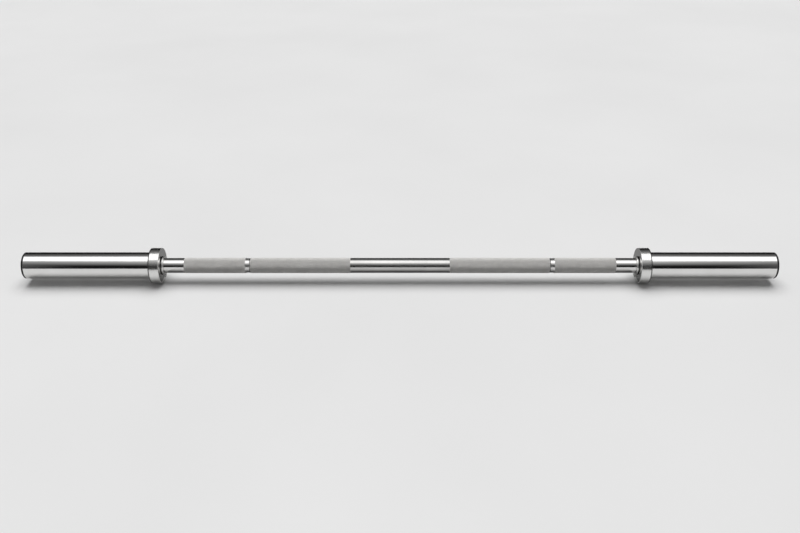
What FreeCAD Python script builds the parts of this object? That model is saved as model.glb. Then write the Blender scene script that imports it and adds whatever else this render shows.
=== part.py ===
# Olympic barbell: a knurled steel shaft that carries a turning sleeve for weight plates on each end.
# Millimetres. X runs along the bar, +Z is up, and the origin is the middle of the bar on its axis.
import FreeCAD
import Part
import Sketcher
import os

# Driving dimensions
SIZES = {
    # Whole bar: between the collars' inner faces, and the plate length of each sleeve tube
    "collar_gap": 888.2,
    "sleeve_length": 232.6,
    # Shaft: diameter, step down to the journal in each sleeve, plain stretches and knurled lands
    "shaft_diameter": 28.0,
    "shoulder_step": 1.0,
    "journal_chamfer": 1.0,
    "plain_centre": 185.0,
    "plain_end": 37.6,
    "outer_knurl": 113.9,
    "knurl_rise": 0.3,
    "knurl_bevel": 0.4,
    # Ring marks turned between the lands
    "mark_width": 9.0,
    "mark_depth": 0.5,
    "mark_bevel": 1.6,
    # Sleeve tube and the spigot that the collar is pressed on
    "sleeve_diameter": 50.0,
    "sleeve_chamfer": 0.6,
    "spigot_step": 2.0,
    # Collar: width, height over the sleeve, rounded edges, and a shallow seat for the tube's shoulder
    "collar_width": 19.9,
    "collar_height": 8.0,
    "collar_inner_round": 1.0,
    "collar_plate_round": 1.8,
    "collar_seat": 0.15,
    # Stop ring: hub on the journal and rim against the shoulder
    "hub_wall": 2.0,
    "rim_width": 3.2,
    "rim_height": 2.5,
    "rim_round": 0.8,
    # Dust seal: body in the collar's mouth, lip in front of it and gaps round it
    "seal_band": 2.2,
    "seal_width": 2.4,
    "seal_lip": 0.6,
    "seal_lip_step": 0.5,
    "seal_clearance": 0.3,
    "seal_front_gap": 0.8,
    "seal_back_gap": 0.8,
    # Thrust washers
    "inner_washer_thickness": 1.5,
    "outer_washer_thickness": 2.0,
    "washer_play": 0.1,
    "washer_rim_gap": 0.5,
    "end_float": 0.3,
    # Bushings
    "bushing_length": 30.0,
    "bushing_wall": 3.0,
    "bushing_chamfer": 0.5,
    "running_clearance": 0.05,
    # Snap ring on the journal
    "snap_ring_thickness": 1.5,
    "snap_ring_band": 2.2,
    "snap_ring_gap": 4.0,
    "snap_ring_setback": 5.0,
    "snap_groove_depth": 0.7,
    "snap_groove_play": 0.1,
    "lug_clearance": 0.6,
    "lug_wall": 0.7,
    # End cap: dished flange over the tube's end and hollow plug in its bore
    "cap_step": 0.5,
    "cap_flange": 3.4,
    "cap_round": 1.0,
    "cap_rim": 6.5,
    "cap_dish_depth": 0.6,
    "plug_length": 15.0,
    "plug_wall": 2.5,
    "plug_clearance": 0.05,
    "shaft_end_gap": 4.5,
}

document = FreeCAD.newDocument("Barbell")
sheet = document.addObject("Spreadsheet::Sheet", "Sizes")
for row, (alias, size) in enumerate(SIZES.items(), start=1):
    sheet.set(f"A{row}", alias)
    sheet.set(f"B{row}", str(size))
    sheet.setAlias(f"B{row}", alias)
document.recompute()

# Radii, from the shaft outwards
SHAFT_RADIUS = "(Sizes.shaft_diameter / 2)"
LAND_RADIUS = f"({SHAFT_RADIUS} + Sizes.knurl_rise)"
MARK_RADIUS = f"({SHAFT_RADIUS} - Sizes.mark_depth)"
JOURNAL_RADIUS = f"({SHAFT_RADIUS} - Sizes.shoulder_step)"
GROOVE_RADIUS = f"({JOURNAL_RADIUS} - Sizes.snap_groove_depth)"
HUB_RADIUS = f"({JOURNAL_RADIUS} + Sizes.hub_wall)"
RIM_RADIUS = f"({HUB_RADIUS} + Sizes.rim_height)"
SEAL_RADIUS = f"({HUB_RADIUS} + Sizes.seal_clearance)"
MOUTH_RADIUS = f"({SEAL_RADIUS} + Sizes.seal_band)"
WASHER_BORE_RADIUS = f"({JOURNAL_RADIUS} + Sizes.washer_play)"
BUSHING_BORE_RADIUS = f"({JOURNAL_RADIUS} + Sizes.running_clearance)"
BORE_RADIUS = f"({BUSHING_BORE_RADIUS} + Sizes.bushing_wall)"
PLUG_RADIUS = f"({BORE_RADIUS} - Sizes.plug_clearance)"
SLEEVE_RADIUS = "(Sizes.sleeve_diameter / 2)"
SPIGOT_RADIUS = f"({SLEEVE_RADIUS} - Sizes.spigot_step)"
COLLAR_RADIUS = f"({SLEEVE_RADIUS} + Sizes.collar_height)"
CAP_RADIUS = f"({SLEEVE_RADIUS} - Sizes.cap_step)"

# Places along the bar, from its middle outwards
COLLAR_FACE = "(Sizes.collar_gap / 2)"
SEAL_START = f"({COLLAR_FACE} - Sizes.seal_lip)"
SHOULDER = f"({SEAL_START} - Sizes.seal_front_gap - Sizes.rim_width)"
INNER_WASHER_START = f"({COLLAR_FACE} + Sizes.seal_width + Sizes.seal_back_gap)"
TUBE_START = f"({INNER_WASHER_START} + Sizes.inner_washer_thickness + Sizes.end_float)"
PLATE_FACE = f"({COLLAR_FACE} + Sizes.collar_width)"
TUBE_SHOULDER = f"({PLATE_FACE} - Sizes.collar_seat)"
TUBE_END = f"({PLATE_FACE} + Sizes.sleeve_length)"
PLUG_START = f"({TUBE_END} - Sizes.plug_length)"
SHAFT_END = f"({PLUG_START} - Sizes.shaft_end_gap)"
SNAP_RING_END = f"({SHAFT_END} - Sizes.snap_ring_setback)"
SNAP_RING_START = f"({SNAP_RING_END} - Sizes.snap_ring_thickness)"
OUTER_WASHER_START = f"({SNAP_RING_START} - Sizes.outer_washer_thickness)"
OUTER_BUSHING_START = f"({OUTER_WASHER_START} - Sizes.end_float - Sizes.bushing_length)"


def value(expression):
    """The number that an expression has on the sheet."""
    return float(sheet.evalExpression(expression))


def add_sketch(body, name, role):
    """A sketch on one of the body's own origin planes."""
    planes = [plane for plane in body.Origin.OriginFeatures if plane.Role == role]
    sketch = body.newObject("Sketcher::SketchObject", name)
    sketch.AttachmentSupport = [(planes[0], "")]
    sketch.MapMode = "FlatFace"
    return sketch


def hold_point(sketch, edge, point, direction, expression):
    """Hold a point of the sketch at a distance from its origin, or on its axis where that is 0."""
    if expression == "0":
        axis = -2 if direction == "DistanceX" else -1
        sketch.addConstraint(Sketcher.Constraint("PointOnObject", edge, point, axis))
        return
    distance = Sketcher.Constraint(direction, -1, 1, edge, point, value(expression))
    sketch.setExpression(f"Constraints[{sketch.addConstraint(distance)}]", expression)


def draw_outline(sketch, corners):
    """A closed outline of straight lines through corners given as (across, up) expressions."""
    points = [FreeCAD.Vector(value(across), value(up), 0) for across, up in corners]
    for start, end in zip(points, points[1:] + points[:1]):
        sketch.addGeometry(Part.LineSegment(start, end), False)
    for line in range(len(corners)):
        following = (line + 1) % len(corners)
        sketch.addConstraint(Sketcher.Constraint("Coincident", line, 2, following, 1))
    for line, (across, up) in enumerate(corners):
        before_across, before_up = corners[line - 1]
        if line and across == before_across:
            sketch.addConstraint(Sketcher.Constraint("Vertical", line - 1))
        else:
            hold_point(sketch, line, 1, "DistanceX", across)
        if line and up == before_up:
            sketch.addConstraint(Sketcher.Constraint("Horizontal", line - 1))
        else:
            hold_point(sketch, line, 1, "DistanceY", up)


def draw_circle(sketch, across, up, radius):
    """A circle whose centre and radius are expressions."""
    centre = FreeCAD.Vector(value(across), value(up), 0)
    circle = sketch.addGeometry(Part.Circle(centre, FreeCAD.Vector(0, 0, 1), value(radius)), False)
    hold_point(sketch, circle, 3, "DistanceX", across)
    hold_point(sketch, circle, 3, "DistanceY", up)
    size = sketch.addConstraint(Sketcher.Constraint("Radius", circle, value(radius)))
    sketch.setExpression(f"Constraints[{size}]", radius)


def turned_body(name, corners):
    """A body turned about X from an outline of (along, radius) expressions, starting at its own X of 0."""
    body = document.addObject("PartDesign::Body", name)
    section = add_sketch(body, f"{name}_section", "XZ_Plane")
    draw_outline(section, corners)
    turning = body.newObject("PartDesign::Revolution", f"{name}_turning")
    turning.Profile = section
    turning.ReferenceAxis = (section, ["H_Axis"])
    turning.Angle = 360
    document.recompute()
    return body


def is_rim(edge, along, radius):
    """Whether an edge is the circle of this radius at this place along the body."""
    if not isinstance(edge.Curve, Part.Circle):
        return False
    tolerance = Part.Precision.approximation()
    same_place = abs(edge.Curve.Center.x - along) < tolerance
    return same_place and abs(edge.Curve.Radius - radius) < tolerance


def dress_rims(body, kind, size, rims):
    """Chamfer or round the body's circular edges at the given (along, radius) expressions."""
    base = body.Tip
    places = [(value(along), value(radius)) for along, radius in rims]
    names = []
    for number, edge in enumerate(base.Shape.Edges, start=1):
        if any(is_rim(edge, along, radius) for along, radius in places):
            names.append(f"Edge{number}")
    feature = body.newObject(f"PartDesign::{kind}", f"{body.Name}_{kind.lower()}")
    feature.Base = (base, names)
    feature.setExpression("Size" if kind == "Chamfer" else "Radius", size)
    document.recompute()


def plain_ring(name, length, inner_radius, outer_radius):
    """A ring of rectangular section."""
    corners = [("0", inner_radius), ("0", outer_radius), (length, outer_radius), (length, inner_radius)]
    return turned_body(name, corners)


def place(body, side, along):
    """Put a body of one side along the bar, with its own X pointing outwards."""
    turn = FreeCAD.Rotation(FreeCAD.Vector(0, 0, 1), 0 if side > 0 else 180)
    body.Placement = FreeCAD.Placement(FreeCAD.Vector(0, 0, 0), turn)
    body.setExpression("Placement.Base.x", f"{side} * {along}")


def make_shaft():
    """The bar itself: half of its turned outline, mirrored about the middle."""
    centre_end = "(Sizes.plain_centre / 2)"
    knurl_end = f"({SHOULDER} - Sizes.plain_end)"
    mark_end = f"({knurl_end} - Sizes.outer_knurl)"
    mark_start = f"({mark_end} - Sizes.mark_width)"
    groove_start = f"({SNAP_RING_START} - Sizes.snap_groove_play)"
    body = turned_body("shaft", [
        ("0", "0"),
        ("0", SHAFT_RADIUS),
        (centre_end, SHAFT_RADIUS),
        (f"{centre_end} + Sizes.knurl_bevel", LAND_RADIUS),
        (mark_start, LAND_RADIUS),
        (f"{mark_start} + Sizes.mark_bevel", MARK_RADIUS),
        (f"{mark_end} - Sizes.mark_bevel", MARK_RADIUS),
        (mark_end, LAND_RADIUS),
        (f"{knurl_end} - Sizes.knurl_bevel", LAND_RADIUS),
        (knurl_end, SHAFT_RADIUS),
        (SHOULDER, SHAFT_RADIUS),
        (SHOULDER, JOURNAL_RADIUS),
        (groove_start, JOURNAL_RADIUS),
        (groove_start, GROOVE_RADIUS),
        (SNAP_RING_END, GROOVE_RADIUS),
        (SNAP_RING_END, JOURNAL_RADIUS),
        (SHAFT_END, JOURNAL_RADIUS),
        (SHAFT_END, "0"),
    ])
    dress_rims(body, "Chamfer", "Sizes.journal_chamfer", [(SHAFT_END, JOURNAL_RADIUS)])
    other_half = body.newObject("PartDesign::Mirrored", "shaft_other_half")
    other_half.TransformMode = "Whole shape"
    middle = [plane for plane in body.Origin.OriginFeatures if plane.Role == "YZ_Plane"]
    other_half.MirrorPlane = (middle[0], [""])
    body.Tip = other_half
    document.recompute()
    return body


def make_sleeve_tube(name):
    """Thick tube with a thinner spigot at its inner end, which the collar is pressed on."""
    length = f"({TUBE_END} - {TUBE_START})"
    spigot = f"({TUBE_SHOULDER} - {TUBE_START})"
    body = turned_body(name, [
        ("0", BORE_RADIUS),
        ("0", SPIGOT_RADIUS),
        (spigot, SPIGOT_RADIUS),
        (spigot, SLEEVE_RADIUS),
        (length, SLEEVE_RADIUS),
        (length, BORE_RADIUS),
    ])
    dress_rims(body, "Chamfer", "Sizes.sleeve_chamfer", [(length, SLEEVE_RADIUS)])
    return body


def make_collar(name):
    """Round flange: its web closes in to the mouth, and the tube's spigot fills the rest of its bore."""
    width = "Sizes.collar_width"
    seat = f"({TUBE_SHOULDER} - {COLLAR_FACE})"
    web = f"({TUBE_START} - {COLLAR_FACE})"
    body = turned_body(name, [
        ("0", MOUTH_RADIUS),
        ("0", COLLAR_RADIUS),
        (width, COLLAR_RADIUS),
        (width, SLEEVE_RADIUS),
        (seat, SLEEVE_RADIUS),
        (seat, SPIGOT_RADIUS),
        (web, SPIGOT_RADIUS),
        (web, MOUTH_RADIUS),
    ])
    dress_rims(body, "Fillet", "Sizes.collar_inner_round", [("0", COLLAR_RADIUS)])
    dress_rims(body, "Fillet", "Sizes.collar_plate_round", [(width, COLLAR_RADIUS)])
    return body


def make_stop_ring(name):
    """Flanged ring on the journal: a rounded rim against the shoulder and a hub into the collar's mouth."""
    length = f"({INNER_WASHER_START} - {SHOULDER})"
    rim = "Sizes.rim_width"
    body = turned_body(name, [
        ("0", JOURNAL_RADIUS),
        ("0", RIM_RADIUS),
        (rim, RIM_RADIUS),
        (rim, HUB_RADIUS),
        (length, HUB_RADIUS),
        (length, JOURNAL_RADIUS),
    ])
    dress_rims(body, "Fillet", "Sizes.rim_round", [("0", RIM_RADIUS), (rim, RIM_RADIUS)])
    return body


def make_dust_seal(name):
    """Rubber ring in the collar's mouth with a lip in front of it, clear of the stop ring's hub."""
    lip_radius = f"({MOUTH_RADIUS} - Sizes.seal_lip_step)"
    length = "(Sizes.seal_lip + Sizes.seal_width)"
    return turned_body(name, [
        ("0", SEAL_RADIUS),
        ("0", lip_radius),
        ("Sizes.seal_lip", lip_radius),
        ("Sizes.seal_lip", MOUTH_RADIUS),
        (length, MOUTH_RADIUS),
        (length, SEAL_RADIUS),
    ])


def make_inner_thrust_washer(name):
    """Bronze washer behind the stop ring's hub, inside the collar's mouth."""
    outer_radius = f"({MOUTH_RADIUS} - Sizes.washer_rim_gap)"
    return plain_ring(name, "Sizes.inner_washer_thickness", WASHER_BORE_RADIUS, outer_radius)


def make_outer_thrust_washer(name):
    """Steel washer between the outer bushing and the snap ring, inside the tube's bore."""
    outer_radius = f"({BORE_RADIUS} - Sizes.washer_rim_gap)"
    return plain_ring(name, "Sizes.outer_washer_thickness", WASHER_BORE_RADIUS, outer_radius)


def make_bushing(name):
    """Bronze bushing pressed into the tube, which runs on the journal."""
    length = "Sizes.bushing_length"
    body = plain_ring(name, length, BUSHING_BORE_RADIUS, BORE_RADIUS)
    dress_rims(body, "Chamfer", "Sizes.bushing_chamfer", [("0", BORE_RADIUS), (length, BORE_RADIUS)])
    return body


def add_flat(body, kind, sketch, thickness):
    """Pad a sketch outwards by a thickness, or cut the body through that thickness with it."""
    feature = body.newObject(f"PartDesign::{kind}", f"{sketch.Name}_{kind.lower()}")
    feature.Profile = sketch
    feature.Reversed = kind == "Pocket"
    feature.setExpression("Length", thickness)
    document.recompute()


def make_snap_ring(name):
    """Open spring ring in the journal's groove, with a drilled lug at each end for the pliers."""
    thickness = "Sizes.snap_ring_thickness"
    lug_radius = f"(({BORE_RADIUS} - Sizes.lug_clearance - {GROOVE_RADIUS}) / 2)"
    lug_hole_radius = f"({lug_radius} - Sizes.lug_wall)"
    lug_across = f"(Sizes.snap_ring_gap / 2 + {lug_radius})"
    lug_down = f"(-sqrt(({GROOVE_RADIUS} + {lug_radius}) ^ 2 - {lug_across} ^ 2))"
    gap_bottom = f"(-{BORE_RADIUS})"
    body = document.addObject("PartDesign::Body", name)

    band = add_sketch(body, f"{name}_band", "YZ_Plane")
    draw_circle(band, "0", "0", f"{GROOVE_RADIUS} + Sizes.snap_ring_band")
    draw_circle(band, "0", "0", GROOVE_RADIUS)
    add_flat(body, "Pad", band, thickness)

    gap = add_sketch(body, f"{name}_gap", "YZ_Plane")
    draw_outline(gap, [
        ("-Sizes.snap_ring_gap / 2", "0"),
        ("Sizes.snap_ring_gap / 2", "0"),
        ("Sizes.snap_ring_gap / 2", gap_bottom),
        ("-Sizes.snap_ring_gap / 2", gap_bottom),
    ])
    add_flat(body, "Pocket", gap, thickness)

    lugs = add_sketch(body, f"{name}_lugs", "YZ_Plane")
    holes = add_sketch(body, f"{name}_holes", "YZ_Plane")
    for across in (f"-{lug_across}", lug_across):
        draw_circle(lugs, across, lug_down, lug_radius)
        draw_circle(holes, across, lug_down, lug_hole_radius)
    add_flat(body, "Pad", lugs, thickness)
    add_flat(body, "Pocket", holes, thickness)
    return body


def make_end_cap(name):
    """Plastic cap: a dished flange over the tube's end and a hollow plug in its bore."""
    plug = "Sizes.plug_length"
    length = "(Sizes.plug_length + Sizes.cap_flange)"
    dish = f"({length} - Sizes.cap_dish_depth)"
    dish_radius = f"({CAP_RADIUS} - Sizes.cap_rim)"
    plug_bore = f"({PLUG_RADIUS} - Sizes.plug_wall)"
    body = turned_body(name, [
        (plug, "0"),
        (plug, plug_bore),
        ("0", plug_bore),
        ("0", PLUG_RADIUS),
        (plug, PLUG_RADIUS),
        (plug, CAP_RADIUS),
        (length, CAP_RADIUS),
        (length, dish_radius),
        (dish, dish_radius),
        (dish, "0"),
    ])
    dress_rims(body, "Fillet", "Sizes.cap_round", [(length, CAP_RADIUS)])
    return body


bodies = [make_shaft()]
for side_name, side in (("left", -1), ("right", 1)):
    pieces = [
        (make_sleeve_tube(f"{side_name}_sleeve_tube"), TUBE_START),
        (make_collar(f"{side_name}_collar"), COLLAR_FACE),
        (make_stop_ring(f"{side_name}_stop_ring"), SHOULDER),
        (make_dust_seal(f"{side_name}_dust_seal"), SEAL_START),
        (make_inner_thrust_washer(f"{side_name}_inner_thrust_washer"), INNER_WASHER_START),
        (make_bushing(f"{side_name}_inner_bushing"), TUBE_START),
        (make_bushing(f"{side_name}_outer_bushing"), OUTER_BUSHING_START),
        (make_outer_thrust_washer(f"{side_name}_outer_thrust_washer"), OUTER_WASHER_START),
        (make_snap_ring(f"{side_name}_shaft_snap_ring"), SNAP_RING_START),
        (make_end_cap(f"{side_name}_end_cap"), PLUG_START),
    ]
    for body, along in pieces:
        place(body, side, along)
        bodies.append(body)
document.recompute()

# Nothing is written unless every object of the document is sound
for item in document.Objects:
    if "Invalid" in item.State or "Error" in item.State:
        raise RuntimeError(f"{item.Name} failed: {item.State}")
for body in bodies:
    if body.Shape.isNull() or not body.Shape.isValid() or len(body.Shape.Solids) != 1:
        raise RuntimeError(f"{body.Label} is not one sound solid")

os.makedirs("parts", exist_ok=True)
for body in bodies:
    body.Shape.exportStep(f"parts/{body.Label}.step")
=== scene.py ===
# Olympic barbell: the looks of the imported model, piece by piece as the bar is put together.
# Metres, in the model's own frame: X along the bar, +Z up, and the photograph's viewer on the -Y side.
import bmesh
import bpy
import math
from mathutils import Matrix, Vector


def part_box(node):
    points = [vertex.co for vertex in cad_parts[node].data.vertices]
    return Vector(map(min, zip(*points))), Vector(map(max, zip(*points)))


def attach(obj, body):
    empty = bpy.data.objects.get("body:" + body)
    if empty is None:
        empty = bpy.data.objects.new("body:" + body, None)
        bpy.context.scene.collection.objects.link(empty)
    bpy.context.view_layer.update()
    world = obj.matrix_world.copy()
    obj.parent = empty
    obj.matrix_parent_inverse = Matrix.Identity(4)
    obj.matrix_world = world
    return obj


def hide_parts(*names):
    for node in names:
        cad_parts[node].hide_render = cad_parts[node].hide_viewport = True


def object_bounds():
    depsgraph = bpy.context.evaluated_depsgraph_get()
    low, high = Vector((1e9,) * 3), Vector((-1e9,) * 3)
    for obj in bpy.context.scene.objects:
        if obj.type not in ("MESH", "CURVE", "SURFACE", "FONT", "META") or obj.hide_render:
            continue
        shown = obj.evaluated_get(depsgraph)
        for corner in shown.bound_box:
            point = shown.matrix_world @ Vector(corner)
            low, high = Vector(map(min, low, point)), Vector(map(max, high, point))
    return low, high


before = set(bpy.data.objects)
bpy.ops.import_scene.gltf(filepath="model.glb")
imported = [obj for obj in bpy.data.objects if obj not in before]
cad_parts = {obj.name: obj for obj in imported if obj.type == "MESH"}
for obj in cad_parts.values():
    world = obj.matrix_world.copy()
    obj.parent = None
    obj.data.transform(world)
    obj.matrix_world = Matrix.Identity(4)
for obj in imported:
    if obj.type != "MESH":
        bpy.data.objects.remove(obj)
cad_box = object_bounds()

# Shaft: one steel bar turned to 28 mm, with two ring marks cut to place the hands and a thinner journal
# inside each sleeve. It is chrome plated: bright at its plain ends, and dulled a little by handling at its
# plain centre.
MM = 0.001
TURN_STEPS = 160
ROUND_STEPS = 6
SHARP_ANGLE = math.radians(30)
MERGE_DISTANCE = 1e-7
SMUDGE_SPREAD = (0.3, 0.7)


def rounded_section(corners):
    """The points of a section whose (along, radius, rounding) corners are rounded by arcs."""
    points = []
    for number, (along, radius, rounding) in enumerate(corners):
        corner = Vector((along, radius))
        if not rounding:
            points.append(corner)
            continue
        before = (Vector(corners[number - 1][:2]) - corner).normalized()
        after = (Vector(corners[(number + 1) % len(corners)][:2]) - corner).normalized()
        half_angle = before.angle(after) / 2
        reach = rounding / math.tan(half_angle)
        centre = corner + (before + after).normalized() * rounding / math.sin(half_angle)
        start = corner + before * reach - centre
        end = corner + after * reach - centre
        # A point just outside the arc at each end keeps the flats next to it flat in the shading
        support = reach + rounding / 4
        points.append(corner + before * support)
        for step in range(ROUND_STEPS + 1):
            points.append(centre + rounding * start.slerp(end, step / ROUND_STEPS))
        points.append(corner + after * support)
    return points


def made_object(name, shape, finish):
    """A new object from a finished shape, with a material."""
    mesh = bpy.data.meshes.new(name)
    shape.to_mesh(mesh)
    shape.free()
    mesh.materials.append(finish)
    made = bpy.data.objects.new(name, mesh)
    bpy.context.scene.collection.objects.link(made)
    return made


def turned_piece(name, corners, finish):
    """A piece turned about the bar's axis from its section's corners, open where that starts on the axis."""
    shape = bmesh.new()
    points = [shape.verts.new((along, 0, radius)) for along, radius in rounded_section(corners)]
    pairs = list(zip(points, points[1:]))
    if corners[0][1] > 0:
        pairs.append((points[-1], points[0]))
    edges = [shape.edges.new(pair) for pair in pairs]
    bmesh.ops.spin(
        shape,
        geom=points + edges,
        cent=(0, 0, 0),
        axis=(1, 0, 0),
        angle=2 * math.pi,
        steps=TURN_STEPS,
        use_merge=True,
    )
    bmesh.ops.remove_doubles(shape, verts=shape.verts, dist=MERGE_DISTANCE)
    bmesh.ops.recalc_face_normals(shape, faces=shape.faces)
    piece = made_object(name, shape, finish)
    piece.data.shade_smooth()
    piece.data.set_sharp_from_angle(angle=SHARP_ANGLE)
    return piece


def new_finish(name):
    """A material with nothing but its shader, and what is needed to add nodes to it."""
    finish = bpy.data.materials.new(name)
    finish.use_nodes = True
    return finish, finish.node_tree, finish.node_tree.nodes["Principled BSDF"]


def feed(tree, socket, term):
    """An input set to a number or colour, or linked to another socket."""
    if isinstance(term, bpy.types.NodeSocket):
        tree.links.new(term, socket)
    else:
        socket.default_value = term


def set_node(tree, node, **settings):
    """A node's own settings, and its inputs set or linked by their names (spaces as underscores)."""
    for name, setting in settings.items():
        socket = node.inputs.get(name.replace("_", " "))
        if socket is None:
            setattr(node, name, setting)
        else:
            feed(tree, socket, setting)


def add_node(tree, kind, **settings):
    """A new node with its settings and inputs."""
    node = tree.nodes.new(kind)
    set_node(tree, node, **settings)
    return node


def math_node(tree, operation, first, second=0.0):
    """The result of a sum on two sockets or numbers."""
    node = add_node(tree, "ShaderNodeMath", operation=operation)
    feed(tree, node.inputs[0], first)
    feed(tree, node.inputs[1], second)
    return node.outputs[0]


def mapped(tree, term, low, high, to_low, to_high):
    """A socket's range mapped to another one, and held inside it."""
    return add_node(
        tree,
        "ShaderNodeMapRange",
        Value=term,
        From_Min=low,
        From_Max=high,
        To_Min=to_low,
        To_Max=to_high,
    ).outputs["Result"]


def between(tree, share, first, second):
    """A number between two, by a share from 0 to 1."""
    return mapped(tree, share, 0.0, 1.0, first, second)


def mixed_colour(tree, share, first, second):
    """A colour between two colours or sockets, by a share from 0 to 1."""
    node = add_node(tree, "ShaderNodeMix", data_type="RGBA", Factor=share)
    for name, colour in (("A", first), ("B", second)):
        feed(tree, node.inputs[name], colour if isinstance(colour, bpy.types.NodeSocket) else (*colour, 1))
    return node.outputs["Result"]


def object_place(tree):
    """The place on the piece in the model's own frame."""
    return tree.nodes.new("ShaderNodeTexCoord").outputs["Object"]


def grain(tree, size, detail=2.0):
    """Soft noise of about a size, all through a piece."""
    node = add_node(tree, "ShaderNodeTexNoise", Vector=object_place(tree), Scale=1 / size, Detail=detail)
    return node.outputs["Fac"]


def smudges(tree, size):
    """Soft patches of about a size, from 0 to 1."""
    return mapped(tree, grain(tree, size, detail=4.0), *SMUDGE_SPREAD, 0.0, 1.0)


def lines(tree, place, pitch):
    """Fine lines of uneven depth across a distance along the piece, from 0 to 1."""
    node = add_node(tree, "ShaderNodeTexNoise", noise_dimensions="1D", W=place, Scale=1 / pitch, Detail=3.0)
    return node.outputs["Fac"]


def cut_into(tree, shader, height, depth):
    """Bump of a real depth on a shader's surface."""
    bump = add_node(tree, "ShaderNodeBump", Height=height, Distance=depth)
    tree.links.new(bump.outputs["Normal"], shader.inputs["Normal"])


def along_bar(tree):
    """The distance along the bar's axis."""
    return add_node(tree, "ShaderNodeSeparateXYZ", Vector=object_place(tree)).outputs["X"]


shaft_radius = 14.0 * MM
mark_radius = shaft_radius - 0.5 * MM
knurl_seat = shaft_radius - 0.45 * MM
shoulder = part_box("right_stop_ring")[0].x
shaft_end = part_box("shaft")[1].x
centre_end = 92.5 * MM
plain_start = shoulder - 37.6 * MM
mark_end = plain_start - 113.9 * MM
mark_start = mark_end - 9.0 * MM
mark_bevel = 1.6 * MM
mark_round = 3.0 * MM
fine_edge = 0.1 * MM
journal_radius = 13.0 * MM
journal_chamfer = 1.0 * MM
groove_radius = journal_radius - 0.7 * MM
groove_play = 0.1 * MM
ring_start, ring_end = (corner.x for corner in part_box("right_shaft_snap_ring"))

plated = (0.72, 0.715, 0.705)
# The dark colour of the handling film, which the painted shade in the ring marks uses too
film_and_shade_colour = (0.2, 0.198, 0.19)
handled_film = (0.287, 0.41)
end_film_share = 0.15
handled_patch = 30.0 * MM
shaft_roughness = (0.09, 0.13)
handled_roughness = 0.1
mark_roughness = 0.17
shaft_tool_pitch = 0.35 * MM
shaft_tool_depth = 0.0008 * MM
# Where the painted shade on each ring mark's inner wall starts and fades out
mark_shade_start = mark_start + 1.19 * MM
mark_shade_end = mark_start + 1.7 * MM
shaft_finish, tree, shader = new_finish("shaft_chrome_plate")
off_centre = math_node(tree, "ABSOLUTE", along_bar(tree))
handled = mapped(tree, off_centre, centre_end, mark_start, 1.0, 0.0)
patches = smudges(tree, handled_patch)
film_and_shade = between(tree, patches, *handled_film)
film_and_shade = math_node(tree, "MULTIPLY", film_and_shade, between(tree, handled, end_film_share, 1.0))
# Painted shade: a dark line on the wall of each ring mark that is nearer the middle, put in through the
# film's share
past_mark_start = math_node(tree, "GREATER_THAN", off_centre, mark_start - fine_edge)
mark_shade = mapped(tree, off_centre, mark_shade_start, mark_shade_end, 1.0, 0.0)
mark_shade = math_node(tree, "MULTIPLY", past_mark_start, mark_shade)
film_and_shade = math_node(tree, "MAXIMUM", film_and_shade, mark_shade)
roughness = between(tree, patches, *shaft_roughness)
roughness = math_node(tree, "ADD", roughness, math_node(tree, "MULTIPLY", handled, handled_roughness))
before_mark_end = math_node(tree, "LESS_THAN", off_centre, mark_end + fine_edge)
in_mark = math_node(tree, "MULTIPLY", past_mark_start, before_mark_end)
roughness = math_node(tree, "ADD", roughness, math_node(tree, "MULTIPLY", in_mark, mark_roughness))
shaft_colour = mixed_colour(tree, film_and_shade, plated, film_and_shade_colour)
set_node(tree, shader, Base_Color=shaft_colour, Roughness=roughness, Metallic=1.0)
cut_into(tree, shader, lines(tree, along_bar(tree), shaft_tool_pitch), shaft_tool_depth)

half_section = [
    (centre_end, shaft_radius, fine_edge),
    (centre_end, knurl_seat, 0),
    (mark_start, knurl_seat, 0),
    (mark_start, shaft_radius, fine_edge),
    (mark_start + mark_bevel, mark_radius, mark_round),
    (mark_end - mark_bevel, mark_radius, mark_round),
    (mark_end, shaft_radius, fine_edge),
    (mark_end, knurl_seat, 0),
    (plain_start, knurl_seat, 0),
    (plain_start, shaft_radius, fine_edge),
    (shoulder, shaft_radius, fine_edge),
    (shoulder, journal_radius, 0),
    (ring_start - groove_play, journal_radius, 0),
    (ring_start - groove_play, groove_radius, 0),
    (ring_end, groove_radius, 0),
    (ring_end, journal_radius, 0),
    (shaft_end - journal_chamfer, journal_radius, fine_edge),
    (shaft_end, journal_radius - journal_chamfer, fine_edge),
    (shaft_end, 0, 0),
]
other_half = [(-along, radius, rounding) for along, radius, rounding in reversed(half_section)]
shaft_bar = turned_piece("shaft_bar", other_half + half_section, shaft_finish)
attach(shaft_bar, "shaft")
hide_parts("shaft")

# Knurling: four lands of diamonds that two crossing sets of slanting grooves leave standing, rolled into the
# shaft for grip and plated with it. The crests are rubbed to bright metal in patches, and a dull film stays
# in the grooves.
groove_colour = (0.587, 0.578, 0.563)
crest_colour = (0.97, 0.955, 0.933)
wear_patch = 11.0 * MM
least_wear = 0.5
bare_metal = (0.3, 0.85)
knurl_roughness = (0.7, 0.33)
knurl_metallic = (0.3, 1.0)
knurl_grain = 0.25 * MM
knurl_grain_depth = 0.004 * MM
knurl_finish, tree, shader = new_finish("knurled_chrome_plate")
crest = add_node(tree, "ShaderNodeAttribute", attribute_name="crest").outputs["Fac"]
worn = math_node(tree, "MULTIPLY", crest, between(tree, smudges(tree, wear_patch), 1.0, least_wear))
bare = mapped(tree, worn, *bare_metal, 0.0, 1.0)
set_node(
    tree,
    shader,
    Base_Color=mixed_colour(tree, worn, groove_colour, crest_colour),
    Roughness=between(tree, bare, *knurl_roughness),
    Metallic=between(tree, bare, *knurl_metallic),
)
cut_into(tree, shader, grain(tree, knurl_grain), knurl_grain_depth)


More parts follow.
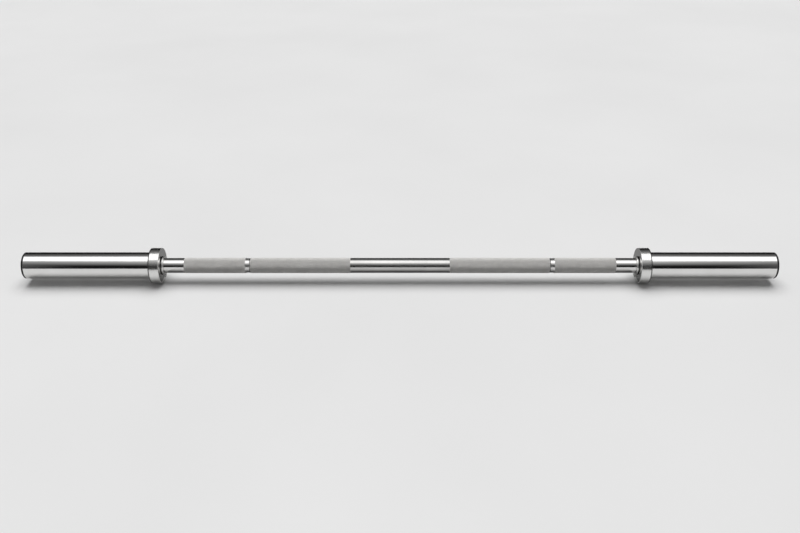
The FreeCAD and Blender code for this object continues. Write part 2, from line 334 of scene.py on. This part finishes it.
def tree_with_sockets(name, inputs):
    """An empty node tree for geometry, with named inputs of a socket type each."""
    tree = bpy.data.node_groups.new(name, "GeometryNodeTree")
    for socket_name, socket_type in inputs:
        tree.interface.new_socket(socket_name, in_out="INPUT", socket_type=socket_type)
    tree.interface.new_socket("Geometry", in_out="OUTPUT", socket_type="NodeSocketGeometry")
    return tree, tree.nodes.new("NodeGroupInput").outputs, tree.nodes.new("NodeGroupOutput").inputs


def choice(tree, switch, otherwise, chosen):
    """One of two numbers, by a yes or no socket."""
    node = add_node(tree, "GeometryNodeSwitch", input_type="FLOAT", Switch=switch)
    feed(tree, node.inputs["False"], otherwise)
    feed(tree, node.inputs["True"], chosen)
    return node.outputs[0]


def below(tree, term, limit):
    """Whether a number is under a limit."""
    node = add_node(tree, "FunctionNodeCompare", data_type="FLOAT", operation="LESS_THAN")
    feed(tree, node.inputs["A"], term)
    feed(tree, node.inputs["B"], limit)
    return node.outputs["Result"]


def line_number(tree, place, steps):
    """The number of a line of points in a net, from its place across a net of so many steps."""
    half_net = math_node(tree, "DIVIDE", steps, 2)
    return math_node(tree, "ROUND", math_node(tree, "ADD", place, half_net))


CLOSING_ROWS = 3
HALF_ROW = 0.5
WELD_DISTANCE = 0.01 * MM
LAND_INPUTS = [
    ("Start", "NodeSocketFloat"),
    ("End", "NodeSocketFloat"),
    ("Rows", "NodeSocketInt"),
    ("Diamonds Round", "NodeSocketInt"),
    ("Crest Radius", "NodeSocketFloat"),
    ("Groove Depth", "NodeSocketFloat"),
    ("Edge Radius", "NodeSocketFloat"),
    ("Seat Radius", "NodeSocketFloat"),
]


def knurled_land_tree():
    """One land: a net of points wrapped round the bar, in a groove crossing or on a diamond by turns.
    Its first and last rows lie on the plain bar, and the closing rows join it underneath."""
    tree, size, result = tree_with_sockets("knurled_land", LAND_INPUTS)
    rows_in_all = math_node(tree, "ADD", size["Rows"], CLOSING_ROWS)
    columns = math_node(tree, "MULTIPLY", size["Diamonds Round"], 2)
    net = add_node(
        tree,
        "GeometryNodeMeshGrid",
        Size_X=rows_in_all,
        Size_Y=columns,
        Vertices_X=math_node(tree, "ADD", rows_in_all, 1),
        Vertices_Y=math_node(tree, "ADD", columns, 1),
    )
    position = tree.nodes.new("GeometryNodeInputPosition").outputs["Position"]
    place = add_node(tree, "ShaderNodeSeparateXYZ", Vector=position).outputs
    row = line_number(tree, place["X"], rows_in_all)
    column = line_number(tree, place["Y"], columns)
    step = math_node(tree, "SUBTRACT", row, 1)
    from_edge = math_node(tree, "MINIMUM", step, math_node(tree, "SUBTRACT", size["Rows"], step))

    # Rows from the edge are whole numbers: 0 on the edge, -1 under it, -2 where the net closes on its start
    on_crest = math_node(tree, "MODULO", math_node(tree, "ADD", row, column), 2)
    depth = math_node(tree, "MULTIPLY", math_node(tree, "SUBTRACT", 1, on_crest), size["Groove Depth"])
    knurl_radius = math_node(tree, "SUBTRACT", size["Crest Radius"], depth)
    radius = choice(tree, below(tree, from_edge, HALF_ROW), knurl_radius, size["Edge Radius"])
    radius = choice(tree, below(tree, from_edge, HALF_ROW - 1), radius, size["Seat Radius"])

    share = math_node(tree, "DIVIDE", step, size["Rows"])
    share = math_node(tree, "MINIMUM", math_node(tree, "MAXIMUM", share, 0), 1)
    share = choice(tree, below(tree, from_edge, HALF_ROW - 2), share, 0)
    length = math_node(tree, "SUBTRACT", size["End"], size["Start"])
    along = math_node(tree, "ADD", size["Start"], math_node(tree, "MULTIPLY", share, length))

    angle = math_node(tree, "MULTIPLY", math_node(tree, "DIVIDE", column, columns), 2 * math.pi)
    across = math_node(tree, "MULTIPLY", radius, math_node(tree, "COSINE", angle))
    up = math_node(tree, "MULTIPLY", radius, math_node(tree, "SINE", angle))
    point = add_node(tree, "ShaderNodeCombineXYZ", X=along, Y=across, Z=up)

    marked = add_node(
        tree,
        "GeometryNodeStoreNamedAttribute",
        data_type="FLOAT",
        Geometry=net.outputs["Mesh"],
        Name="crest",
        Value=on_crest,
    )
    wrapped = add_node(
        tree,
        "GeometryNodeSetPosition",
        Geometry=marked.outputs["Geometry"],
        Position=point.outputs["Vector"],
    )
    closed = add_node(
        tree,
        "GeometryNodeMergeByDistance",
        Geometry=wrapped.outputs["Geometry"],
        Distance=WELD_DISTANCE,
    )
    faceted = add_node(
        tree,
        "GeometryNodeTriangulate",
        quad_method="SHORTEST_DIAGONAL",
        Mesh=closed.outputs["Geometry"],
    )
    tree.links.new(faceted.outputs["Mesh"], result["Geometry"])
    return tree


def knurling_tree(finish):
    """The lands of the right half of the bar, and the same turned round for the left half."""
    inputs = [("Inner " + name, kind) for name, kind in LAND_INPUTS[:3]]
    inputs += [("Outer " + name, kind) for name, kind in LAND_INPUTS[:3]]
    inputs += LAND_INPUTS[3:]
    tree, size, result = tree_with_sockets("knurling", inputs)
    land_tree = knurled_land_tree()
    both = tree.nodes.new("GeometryNodeJoinGeometry")
    for land_name in ("Inner", "Outer"):
        land = add_node(tree, "GeometryNodeGroup", node_tree=land_tree)
        for name, kind in LAND_INPUTS:
            source = size.get(f"{land_name} {name}") or size[name]
            tree.links.new(source, land.inputs[name])
        tree.links.new(land.outputs["Geometry"], both.inputs["Geometry"])
    turned = add_node(
        tree,
        "GeometryNodeTransform",
        Geometry=both.outputs["Geometry"],
        Rotation=(0, 0, math.pi),
    )
    whole = add_node(tree, "GeometryNodeJoinGeometry", Geometry=both.outputs["Geometry"])
    tree.links.new(turned.outputs["Geometry"], whole.inputs["Geometry"])
    real = add_node(tree, "GeometryNodeRealizeInstances", Geometry=whole.outputs["Geometry"])
    dressed = add_node(tree, "GeometryNodeSetMaterial", Geometry=real.outputs["Geometry"], Material=finish)
    tree.links.new(dressed.outputs["Geometry"], result["Geometry"])
    return tree


row_pitch = 1.2 * MM
knurl_sizes = {
    "Inner Start": centre_end,
    "Inner End": mark_start,
    "Inner Rows": round((mark_start - centre_end) / row_pitch),
    "Outer Start": mark_end,
    "Outer End": plain_start,
    "Outer Rows": round((plain_start - mark_end) / row_pitch),
    "Diamonds Round": 64,
    "Crest Radius": shaft_radius + 0.3 * MM,
    "Groove Depth": 0.4 * MM,
    "Edge Radius": shaft_radius,
    "Seat Radius": knurl_seat - 0.1 * MM,
}
knurling = bpy.data.objects.new("shaft_knurling", bpy.data.meshes.new("shaft_knurling"))
bpy.context.scene.collection.objects.link(knurling)
pattern = knurling.modifiers.new("knurling", "NODES")
pattern.node_group = knurling_tree(knurl_finish)
for item in pattern.node_group.interface.items_tree:
    if item.in_out == "INPUT":
        pattern[item.identifier] = knurl_sizes[item.name]
rolled = knurling.evaluated_get(bpy.context.evaluated_depsgraph_get())
knurling.data = bpy.data.meshes.new_from_object(rolled)
knurling.modifiers.clear()
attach(knurling, "shaft")

# Stop rings: flanged rings pressed on the journals against the shaft's shoulders, with a rounded bright rim
# that keeps the sleeve off the knurled part of the bar. Turned steel, tumbled to a satin and chrome plated.
SIDES = ("left", "right")


def ends_of(node):
    """Where a node starts and ends along the bar, from the middle outwards, and its outer radius."""
    low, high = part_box(node)
    inner, outer = sorted((low.x, high.x), key=abs)
    return inner, outer, high.y


def outwards(inner, outer, corners):
    """Corners given as distances from a piece's inner end, put in their place along the bar."""
    side = math.copysign(1, outer - inner)
    return [(inner + side * along, radius, rounding) for along, radius, rounding in corners]


def patchy_finish(name, patch_size, colours, roughness, metallic):
    """A material whose colour and roughness change between two values each, in soft patches."""
    finish, tree, shader = new_finish(name)
    patches = smudges(tree, patch_size)
    set_node(
        tree,
        shader,
        Base_Color=mixed_colour(tree, patches, *colours),
        Roughness=between(tree, patches, *roughness),
        Metallic=metallic,
    )
    return finish, tree, shader


ring_finish, tree, shader = patchy_finish(
    "ring_chrome_plate",
    patch_size=6.0 * MM,
    colours=((0.88, 0.875, 0.865), (0.8, 0.795, 0.78)),
    roughness=(0.3, 0.4),
    metallic=1.0,
)
ring_tool_pitch = 0.3 * MM
ring_tool_depth = 0.002 * MM
cut_into(tree, shader, lines(tree, along_bar(tree), ring_tool_pitch), ring_tool_depth)

rim_width = 3.2 * MM
rim_radius = 17.5 * MM
rim_round = 0.8 * MM
hub_radius = 15.0 * MM
for side in SIDES:
    inner, outer, _ = ends_of(f"{side}_stop_ring")
    hub_end = abs(outer - inner)
    ring = turned_piece(f"{side}_stop_ring_plated", outwards(inner, outer, [
        (0, journal_radius, 0),
        (0, rim_radius, rim_round),
        (rim_width, rim_radius, rim_round),
        (rim_width, hub_radius, 0),
        (hub_end, hub_radius, fine_edge),
        (hub_end, journal_radius, 0),
    ]), ring_finish)
    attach(ring, "shaft")
    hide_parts(f"{side}_stop_ring")

# Bushings and inner thrust washers: sintered bronze, bored and pressed into the tube or laid behind the stop
# ring. They run on the journal under a film of oil that darkens them in patches. The model's own solids are
# kept.
bronze_finish, tree, shader = patchy_finish(
    "oiled_bronze",
    patch_size=8.0 * MM,
    colours=((0.62, 0.43, 0.22), (0.36, 0.24, 0.12)),
    roughness=(0.38, 0.22),
    metallic=1.0,
)
pore_size = 0.3 * MM
pore_depth = 0.01 * MM
cut_into(tree, shader, grain(tree, pore_size), pore_depth)
for side in SIDES:
    for piece in ("inner_thrust_washer", "inner_bushing", "outer_bushing"):
        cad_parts[f"{side}_{piece}"].material_slots[0].material = bronze_finish

# Outer thrust washers: ground steel discs between the outer bushing and the snap ring, free on the journal.
# Grinding leaves fine lines across them, and grease a soft stain. The model's own solids are kept.
washer_finish, tree, shader = patchy_finish(
    "ground_steel",
    patch_size=7.0 * MM,
    colours=((0.5, 0.5, 0.51), (0.34, 0.335, 0.33)),
    roughness=(0.28, 0.42),
    metallic=1.0,
)
grinding_pitch = 0.2 * MM
grinding_depth = 0.004 * MM
across_bar = add_node(tree, "ShaderNodeSeparateXYZ", Vector=object_place(tree)).outputs["Y"]
cut_into(tree, shader, lines(tree, across_bar, grinding_pitch), grinding_depth)
for side in SIDES:
    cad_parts[f"{side}_outer_thrust_washer"].material_slots[0].material = washer_finish

# Snap rings: open rings of blackened spring steel in the journals' grooves, which keep the sleeves on the
# shaft. The oxide is thin and uneven, so the steel shows through in places. The model's own solids are kept.
spring_finish, _, _ = patchy_finish(
    "blackened_spring_steel",
    patch_size=3.0 * MM,
    colours=((0.07, 0.07, 0.075), (0.16, 0.155, 0.15)),
    roughness=(0.5, 0.34),
    metallic=0.85,
)
for side in SIDES:
    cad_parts[f"{side}_shaft_snap_ring"].material_slots[0].material = spring_finish

# Sleeve tubes: thick steel tubes of 50 mm for the plates, polished to a mirror and chrome plated. Polishing
# leaves faint rings round them, and plates sliding on and off leave faint streaks along them.
sleeve_colours = ((0.78, 0.777, 0.77), (0.73, 0.727, 0.715))
sleeve_roughness = (0.07, 0.1)
sleeve_patch = 45.0 * MM
streak_width = 0.9 * MM
streak_stretch = (0.02, 1, 1)
streak_range = (0.55, 0.75)
streak_roughness = 0.05
polish_pitch = 0.4 * MM
polish_depth = 0.0006 * MM
sleeve_finish, tree, shader = new_finish("sleeve_chrome_plate")
patches = smudges(tree, sleeve_patch)
stretched = add_node(tree, "ShaderNodeMapping", Vector=object_place(tree), Scale=streak_stretch)
streaks = add_node(
    tree,
    "ShaderNodeTexNoise",
    Vector=stretched.outputs["Vector"],
    Scale=1 / streak_width,
    Detail=3.0,
)
streak_share = mapped(tree, streaks.outputs["Fac"], *streak_range, 0.0, 1.0)
roughness = between(tree, patches, *sleeve_roughness)
roughness = math_node(tree, "ADD", roughness, math_node(tree, "MULTIPLY", streak_share, streak_roughness))
sleeve_colour = mixed_colour(tree, patches, *sleeve_colours)
set_node(tree, shader, Base_Color=sleeve_colour, Roughness=roughness, Metallic=1.0)
cut_into(tree, shader, lines(tree, along_bar(tree), polish_pitch), polish_depth)

bore_radius = 16.05 * MM
spigot_radius = 23.0 * MM
sleeve_chamfer = 0.6 * MM
for side in SIDES:
    inner, outer, radius = ends_of(f"{side}_sleeve_tube")
    plate_face = ends_of(f"{side}_collar")[1]
    length = abs(outer - inner)
    spigot = abs(plate_face - inner)
    tube = turned_piece(f"{side}_sleeve_plated", outwards(inner, outer, [
        (0, bore_radius, 0),
        (0, spigot_radius, 0),
        (spigot, spigot_radius, 0),
        (spigot, radius, 0),
        (length - sleeve_chamfer, radius, 2 * fine_edge),
        (length, radius - sleeve_chamfer, 2 * fine_edge),
        (length, bore_radius, 0),
    ]), sleeve_finish)
    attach(tube, f"{side}_sleeve")
    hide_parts(f"{side}_sleeve_tube")

# Collars: round steel flanges pressed on the tubes, which stop the plates. Turned all over and plated: the
# rim is satin and the flat faces are polished. Their colour carries painted light: a painted highlight on
# the inner edge, a dark painted shade line on the plate-side edge, and painted shade that darkens the flat
# faces.
rim_colour = (0.74, 0.737, 0.727)
# Painted highlight: the colour of the inner edge's rounding, which faces the middle of the bar
painted_highlight_colour = (0.95, 0.945, 0.935)
# Painted shade: the dark colour for the plate-side edge line and, in part, for the flat faces
painted_shade_colour = (0.07, 0.069, 0.068)
# Painted shade: the flat faces are darkened by this share of the painted shade colour
face_painted_shade_share = 0.22
rim_patch = 20.0 * MM
rim_roughness = (0.2, 0.25)
inner_edge_roughness = 0.2
face_polish = 0.3
least_roughness = 0.13
flat_from_facing = (0.8, 0.95)
inner_edge_from_facing = (-0.2, -0.5)
# Painted shade: a dark line along the rounding of the rim by the plate face
painted_shade_edge_width = 2.5 * MM
painted_shade_edge_fade = 0.4 * MM
collar_tool_pitch = 0.3 * MM
collar_tool_depth = 0.001 * MM
collar_start, collar_end, _ = ends_of("right_collar")
painted_shade_edge_start = collar_end - painted_shade_edge_width
collar_finish, tree, shader = new_finish("collar_chrome_plate")
coordinates = tree.nodes.new("ShaderNodeTexCoord").outputs
facing = add_node(tree, "ShaderNodeSeparateXYZ", Vector=coordinates["Normal"]).outputs["X"]
place = add_node(tree, "ShaderNodeSeparateXYZ", Vector=coordinates["Object"]).outputs
flat = mapped(tree, math_node(tree, "ABSOLUTE", facing), *flat_from_facing, 0.0, 1.0)
not_flat = math_node(tree, "SUBTRACT", 1, flat)
facing_out = math_node(tree, "MULTIPLY", facing, math_node(tree, "SIGN", place["X"]))
inner_edge = mapped(tree, facing_out, *inner_edge_from_facing, 0.0, 1.0)
off_centre = math_node(tree, "ABSOLUTE", place["X"])
# Painted shade line on the rim's rounding next to the plate face
painted_shade_edge = mapped(tree, off_centre, painted_shade_edge_start, painted_shade_edge_start + painted_shade_edge_fade, 0.0, 1.0)
painted_shade_edge = math_node(tree, "MULTIPLY", painted_shade_edge, not_flat)
# Painted shade on the plate-side edge line and on the flat faces
painted_shade_share = math_node(tree, "MAXIMUM", painted_shade_edge, math_node(tree, "MULTIPLY", flat, face_painted_shade_share))
# Painted highlight on the inner edge's rounding, found by which way the surface faces
painted_highlight_share = math_node(tree, "MULTIPLY", inner_edge, not_flat)
collar_colour = mixed_colour(tree, painted_highlight_share, rim_colour, painted_highlight_colour)
collar_colour = mixed_colour(tree, painted_shade_share, collar_colour, painted_shade_colour)
roughness = between(tree, smudges(tree, rim_patch), *rim_roughness)
roughness = math_node(tree, "ADD", roughness, math_node(tree, "MULTIPLY", inner_edge, inner_edge_roughness))
roughness = math_node(tree, "SUBTRACT", roughness, math_node(tree, "MULTIPLY", flat, face_polish))
roughness = math_node(tree, "MAXIMUM", roughness, least_roughness)
set_node(tree, shader, Base_Color=collar_colour, Roughness=roughness, Metallic=1.0)
# Turning leaves rings along the bar on the rim, and rings about the axis on the faces
off_axis = add_node(tree, "ShaderNodeCombineXYZ", Y=place["Y"], Z=place["Z"])
radius_out = add_node(tree, "ShaderNodeVectorMath", operation="LENGTH", Vector=off_axis.outputs["Vector"])
on_rim = math_node(tree, "MULTIPLY", place["X"], not_flat)
on_face = math_node(tree, "MULTIPLY", radius_out.outputs["Value"], flat)
tool_rings = lines(tree, math_node(tree, "ADD", on_rim, on_face), collar_tool_pitch)
cut_into(tree, shader, tool_rings, collar_tool_depth)

mouth_radius = 17.5 * MM
collar_inner_round = 1.0 * MM
collar_plate_round = 1.8 * MM
for side in SIDES:
    inner, outer, radius = ends_of(f"{side}_collar")
    tube_start = ends_of(f"{side}_sleeve_tube")[0]
    width = abs(outer - inner)
    web = abs(tube_start - inner)
    collar = turned_piece(f"{side}_collar_plated", outwards(inner, outer, [
        (0, mouth_radius, fine_edge),
        (0, radius, collar_inner_round),
        (width, radius, collar_plate_round),
        (width, spigot_radius, 0),
        (web, spigot_radius, 0),
        (web, mouth_radius, 0),
    ]), collar_finish)
    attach(collar, f"{side}_sleeve")
    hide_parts(f"{side}_collar")

# Dust seals: black rubber rings pushed into the collars' mouths, with a lip in front that keeps dust off the
# bushings. Moulded, matte, and a little dusty in patches.
rubber_finish, tree, shader = patchy_finish(
    "black_rubber",
    patch_size=5.0 * MM,
    colours=((0.012, 0.012, 0.012), (0.03, 0.029, 0.028)),
    roughness=(0.5, 0.75),
    metallic=0.0,
)
rubber_grain = 0.2 * MM
rubber_grain_depth = 0.02 * MM
cut_into(tree, shader, grain(tree, rubber_grain), rubber_grain_depth)

seal_bore = 15.3 * MM
lip_radius = 17.0 * MM
lip_round = 0.4 * MM
for side in SIDES:
    inner, outer, radius = ends_of(f"{side}_dust_seal")
    lip = abs(ends_of(f"{side}_collar")[0] - inner)
    length = abs(outer - inner)
    seal = turned_piece(f"{side}_dust_seal_moulded", outwards(inner, outer, [
        (0, seal_bore, lip_round),
        (0, lip_radius, lip_round),
        (lip, lip_radius, 0),
        (lip, radius, 0),
        (length, radius, fine_edge),
        (length, seal_bore, fine_edge),
    ]), rubber_finish)
    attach(seal, f"{side}_sleeve")
    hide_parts(f"{side}_dust_seal")

# End caps: black moulded plastic caps pushed into the tubes' outer ends, with a hollow plug inside and a
# rounded, slightly dished flange outside. Smooth from the mould, with fine scuffs from the floor.
plastic_finish, tree, shader = patchy_finish(
    "black_moulded_plastic",
    patch_size=9.0 * MM,
    colours=((0.012, 0.012, 0.013), (0.022, 0.022, 0.023)),
    roughness=(0.5, 0.62),
    metallic=0.0,
)
plastic_specular = 0.3
scuff_size = 0.4 * MM
scuff_depth = 0.006 * MM
set_node(tree, shader, Specular_IOR_Level=plastic_specular)
cut_into(tree, shader, grain(tree, scuff_size, detail=3.0), scuff_depth)

flange = 3.4 * MM
cap_radius = 24.5 * MM
cap_round = 1.0 * MM
dish_radius = 18.0 * MM
dish_depth = 0.6 * MM
dish_round = 0.3 * MM
plug_radius = 16.0 * MM
plug_bore = 13.5 * MM
for side in SIDES:
    inner, outer, _ = ends_of(f"{side}_end_cap")
    length = abs(outer - inner)
    plug = length - flange
    cap = turned_piece(f"{side}_end_cap_moulded", outwards(inner, outer, [
        (plug, 0, 0),
        (plug, plug_bore, dish_round),
        (0, plug_bore, 0),
        (0, plug_radius, dish_round),
        (plug, plug_radius, 0),
        (plug, cap_radius, fine_edge),
        (length, cap_radius, cap_round),
        (length, dish_radius, dish_round),
        (length - dish_depth, dish_radius, dish_round),
        (length - dish_depth, 0, 0),
    ]), plastic_finish)
    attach(cap, f"{side}_sleeve")
    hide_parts(f"{side}_end_cap")

# Studio floor: a wide pale matte sheet under the bar, which rests on its collars. The camera and bright
# metal see it pale. Stray light finds it darker, so that it throws less light up under the bar.
ROUND_SIDES = 96
floor_radius = 30.0
floor_patch = 0.5
floor_paleness = (1.0, 0.95)
floor_seen = (0.8, 0.8, 0.8)
floor_in_stray_light = (0.22, 0.22, 0.22)
floor_roughness = 0.9
floor_specular = 0.1
floor_height = cad_box[0].z


def seen_directly(tree):
    """1 for what the camera sees, in bright metal or through something clear too, 0 for stray light."""
    path = tree.nodes.new("ShaderNodeLightPath").outputs
    seen = math_node(tree, "MAXIMUM", path["Is Camera Ray"], path["Is Glossy Ray"])
    return math_node(tree, "MAXIMUM", seen, path["Is Transmission Ray"])


floor_finish, tree, shader = new_finish("pale_floor")
paleness = between(tree, smudges(tree, floor_patch), *floor_paleness)
paleness = math_node(tree, "MULTIPLY", paleness, seen_directly(tree))
set_node(
    tree,
    shader,
    Base_Color=mixed_colour(tree, paleness, floor_in_stray_light, floor_seen),
    Roughness=floor_roughness,
    Specular_IOR_Level=floor_specular,
)
shape = bmesh.new()
bmesh.ops.create_circle(shape, cap_ends=True, segments=ROUND_SIDES, radius=floor_radius)
bmesh.ops.translate(shape, verts=shape.verts, vec=(0, 0, floor_height))
floor = made_object("studio_floor", shape, floor_finish)

# Studio curtain: dark cloth round the set, sheer towards its top and at its two sides, which gives bright
# metal its dark lines. Only reflections see it: it hides nothing from the camera and throws no shadow.
curtain_radius = 3.0
curtain_middle = -1.0
curtain_height = 9.0
curtain_front = curtain_middle - curtain_radius
curtain_back = curtain_middle + curtain_radius
opaque_heights = (1.5, 0.8)
sheer_heights = (4.6, 7.2)
side_opening_start = 1.9
side_sheer_share = 0.5
curtain_colour = (0.025, 0.025, 0.025, 1)


def bare_finish(name):
    """A material without nodes, and the tree to add them to."""
    finish, tree, _ = new_finish(name)
    tree.nodes.clear()
    return finish, tree


def mixed_shader(tree, share, first, second):
    """A shader between two, by a share from 0 to 1."""
    node = tree.nodes.new("ShaderNodeMixShader")
    for socket, source in zip(node.inputs, (share, first, second)):
        tree.links.new(source, socket)
    return node.outputs["Shader"]


def weave(tree, colour, sheer_share):
    """Cloth of a colour as a material's surface, sheer by a share from 0 to 1."""
    cloth = add_node(tree, "ShaderNodeBsdfDiffuse", Color=colour).outputs["BSDF"]
    clear = tree.nodes.new("ShaderNodeBsdfTransparent").outputs["BSDF"]
    add_node(tree, "ShaderNodeOutputMaterial", Surface=mixed_shader(tree, sheer_share, cloth, clear))


def hide_but_in_reflections(cloth):
    """Cloth that bright surfaces mirror, and that neither the camera nor stray light meets."""
    cloth.visible_camera = False
    cloth.visible_diffuse = False
    cloth.visible_shadow = False


curtain_finish, tree = bare_finish("dark_curtain")
place = add_node(tree, "ShaderNodeSeparateXYZ", Vector=object_place(tree)).outputs
opaque_height = mapped(tree, place["Y"], curtain_front, curtain_back, *opaque_heights)
sheer_height = mapped(tree, place["Y"], curtain_front, curtain_back, *sheer_heights)
over_opaque = math_node(tree, "SUBTRACT", place["Z"], opaque_height)
top_share = math_node(tree, "DIVIDE", over_opaque, sheer_height)
sideways = math_node(tree, "ABSOLUTE", place["X"])
side_share = mapped(tree, sideways, side_opening_start, curtain_radius, 0.0, side_sheer_share)
sheer_share = math_node(tree, "MAXIMUM", top_share, side_share)
weave(tree, curtain_colour, between(tree, sheer_share, 0.0, 1.0))
shape = bmesh.new()
bmesh.ops.create_cone(
    shape,
    cap_ends=False,
    segments=ROUND_SIDES,
    radius1=curtain_radius,
    radius2=curtain_radius,
    depth=curtain_height,
)
bmesh.ops.translate(shape, verts=shape.verts, vec=(0, curtain_middle, curtain_height / 2 + floor_height))
curtain = made_object("studio_curtain", shape, curtain_finish)
curtain.data.shade_smooth()
hide_but_in_reflections(curtain)

# Painted shade: strips of dark cloth on the floor, sheer towards their edges, that only reflections see. One
# under the shaft darkens its underside in the reflection, and one behind the bar darkens the collars' faces.
shade_sheet_lift = 0.2 * MM
shade_sheet_colour = (0.01, 0.01, 0.01, 1)


def lay_shade_sheet(name, half_length, front, back, full_to, cover):
    """A strip between two distances behind the bar's axis, at full cover near it and sheer beyond."""
    finish, tree = bare_finish(name)
    across = add_node(tree, "ShaderNodeSeparateXYZ", Vector=object_place(tree)).outputs["Y"]
    off_axis = math_node(tree, "ABSOLUTE", across)
    weave(tree, shade_sheet_colour, mapped(tree, off_axis, full_to, back, 1 - cover, 1.0))
    shape = bmesh.new()
    corners = [(-half_length, front), (half_length, front), (half_length, back), (-half_length, back)]
    shape.faces.new([shape.verts.new((*corner, floor_height + shade_sheet_lift)) for corner in corners])
    shade_sheet = made_object(name, shape, finish)
    hide_but_in_reflections(shade_sheet)


shade_sheet_reach = 75.0 * MM
behind_front = 15.0 * MM
behind_back = 400.0 * MM
# Painted shade in the reflections: a dark sheet under the shaft and one behind the bar
lay_shade_sheet("studio_shade_sheet_under", shoulder, -shade_sheet_reach, shade_sheet_reach, full_to=16.0 * MM, cover=0.7)
lay_shade_sheet("studio_shade_sheet_behind", collar_start, behind_front, behind_back, full_to=200.0 * MM, cover=0.65)

# Studio light: a wide overhead light for the floor and for matte surfaces, a long softbox that bright metal
# mirrors as its white line, and an even pale surround.
overhead_level = 0.82
overhead_spread = math.radians(60)
overhead_tilt = math.radians(16)
overhead = bpy.data.lights.new("overhead", "SUN")
overhead.energy = overhead_level * math.pi / math.cos(overhead_tilt)
overhead.angle = overhead_spread
lamp = bpy.data.objects.new("overhead", overhead)
lamp.rotation_euler = (-overhead_tilt, 0, 0)
lamp.visible_glossy = False
bpy.context.scene.collection.objects.link(lamp)

softbox_brightness = 1.0
softbox_length = 3.2
softbox_depth = 1.2
softbox_place = (0, -0.11, 1.5)
softbox = bpy.data.lights.new("softbox", "AREA")
softbox.shape = "RECTANGLE"
softbox.size = softbox_length
softbox.size_y = softbox_depth
softbox.energy = softbox_brightness * math.pi * softbox_length * softbox_depth
lamp = bpy.data.objects.new("softbox", softbox)
lamp.location = softbox_place
lamp.visible_camera = False
lamp.visible_diffuse = False
bpy.context.scene.collection.objects.link(lamp)

white = (1, 1, 1, 1)
fill_level = 0.18
backdrop_level = 0.79
surround = bpy.data.worlds.new("pale_surround")
surround.use_nodes = True
bpy.context.scene.world = surround
tree = surround.node_tree
tree.nodes.clear()
fill = add_node(tree, "ShaderNodeBackground", Color=white, Strength=fill_level).outputs["Background"]
backdrop = add_node(tree, "ShaderNodeBackground", Color=white, Strength=backdrop_level).outputs["Background"]
either = mixed_shader(tree, seen_directly(tree), fill, backdrop)
add_node(tree, "ShaderNodeOutputWorld", Surface=either)

# Camera: square on to the bar and above it, near enough for the collars' inner faces to show, as in the
# photograph. Its height is a guess, from where the chrome mirrors the edge between floor and surround.
camera_distance = 1.64
camera_elevation = math.radians(28)
aim = Vector((0, 0, -0.0023))
sensor_width_mm = 36.0
lens_mm = 39.4
back = Vector((0, -math.cos(camera_elevation), math.sin(camera_elevation)))
camera = bpy.data.objects.new("camera", bpy.data.cameras.new("camera"))
camera.data.sensor_width = sensor_width_mm
camera.data.lens = lens_mm
camera.location = aim + back * camera_distance
camera.rotation_euler = (-back).to_track_quat("-Z", "Y").to_euler()
bpy.context.scene.collection.objects.link(camera)
bpy.context.scene.camera = camera
bpy.context.scene.view_settings.view_transform = "Standard"
